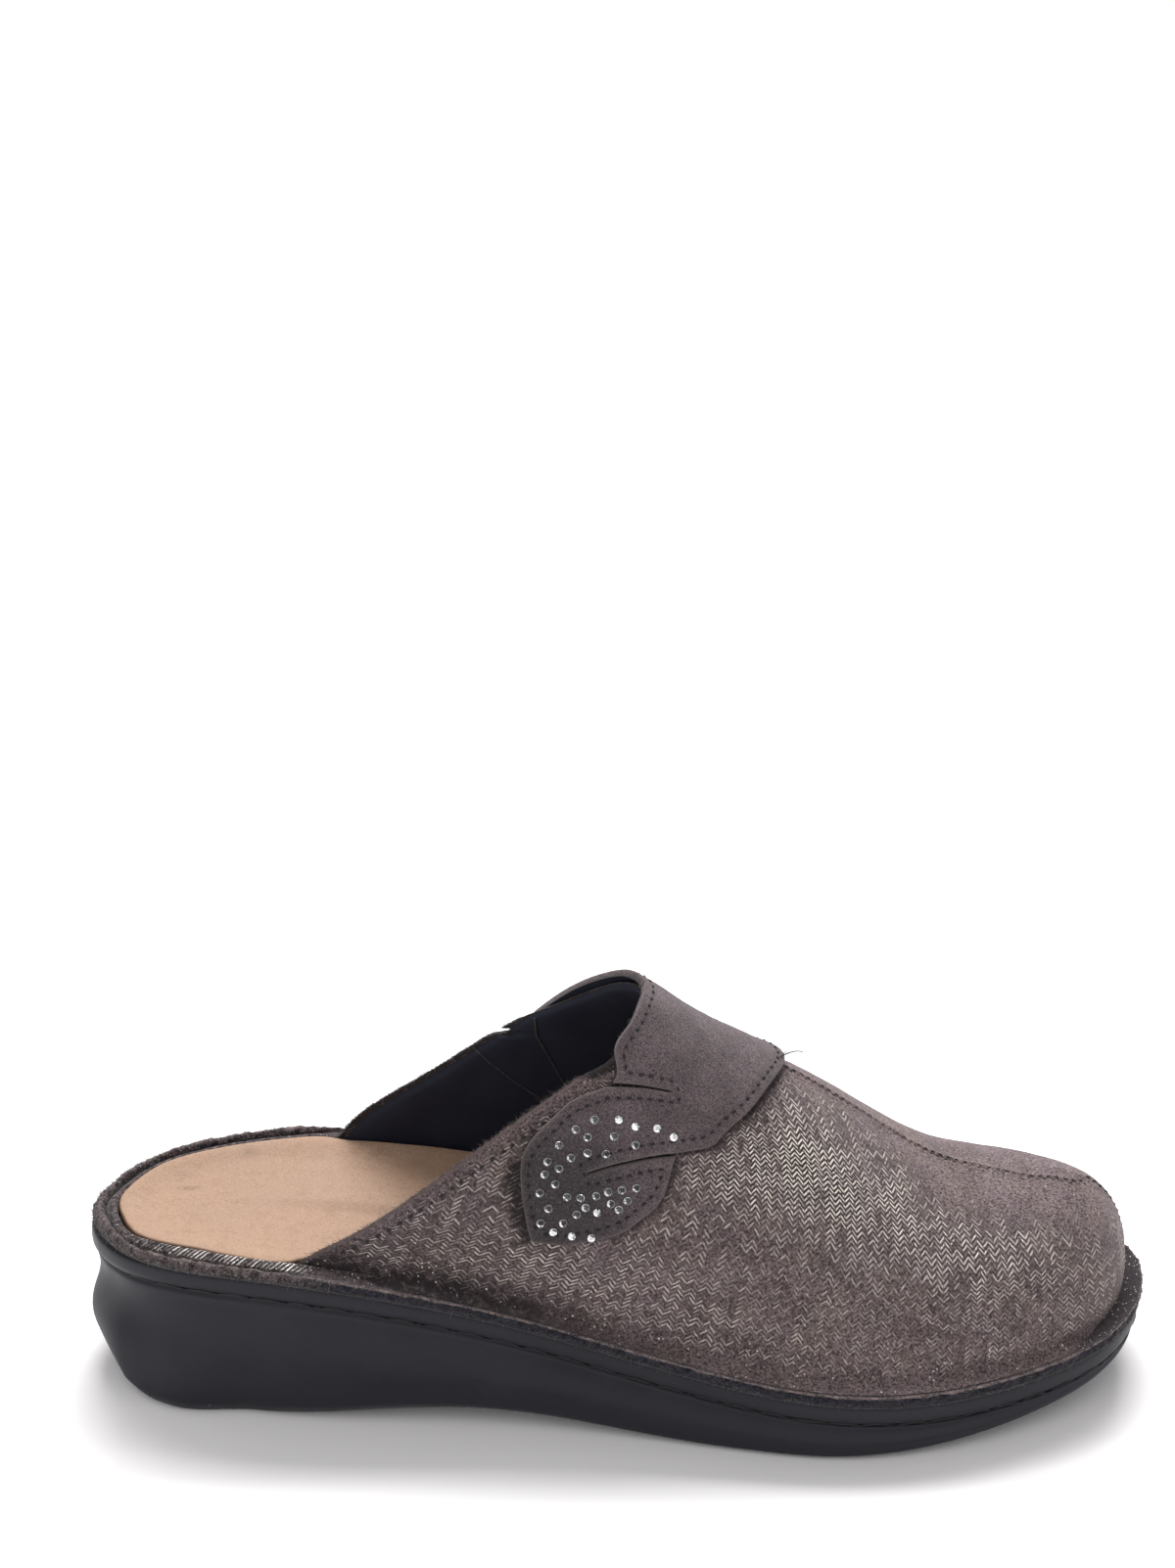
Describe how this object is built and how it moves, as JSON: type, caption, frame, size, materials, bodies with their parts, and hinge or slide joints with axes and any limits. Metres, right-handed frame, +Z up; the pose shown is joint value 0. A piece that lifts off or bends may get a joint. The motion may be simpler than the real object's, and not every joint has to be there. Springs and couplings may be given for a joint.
{
  "type": "slip-on clog",
  "caption": "Closed-toe, open-back slip-on clog for the right foot: wedge sole, stitched suede rim, tan footbed, hollow suede upper and an instep strap with a leaf-shaped tab.",
  "frame": {"origin": "centre of the shoe's bounding box in plan, on the floor plane under the sole", "axes": "+X from heel to toe, +Y towards the inner (big-toe) side of the right foot, +Z up"},
  "size_m": [0.2636, 0.095, 0.1026],
  "materials": {
    "outsole": "satin moulded polyurethane, black",
    "welt": "smooth satin black",
    "rand": "dark suede with a raw edge",
    "insole": "matte tan leather",
    "upper": "taupe suede with a metallic herringbone print",
    "strap": "plain grey-taupe suede"
  },
  "bodies": {
    "root": {"outsole": "outsole", "welt": "welt", "rand": "rand", "insole": "insole", "upper": "upper", "strap": "strap"}
  },
  "joints": []
}
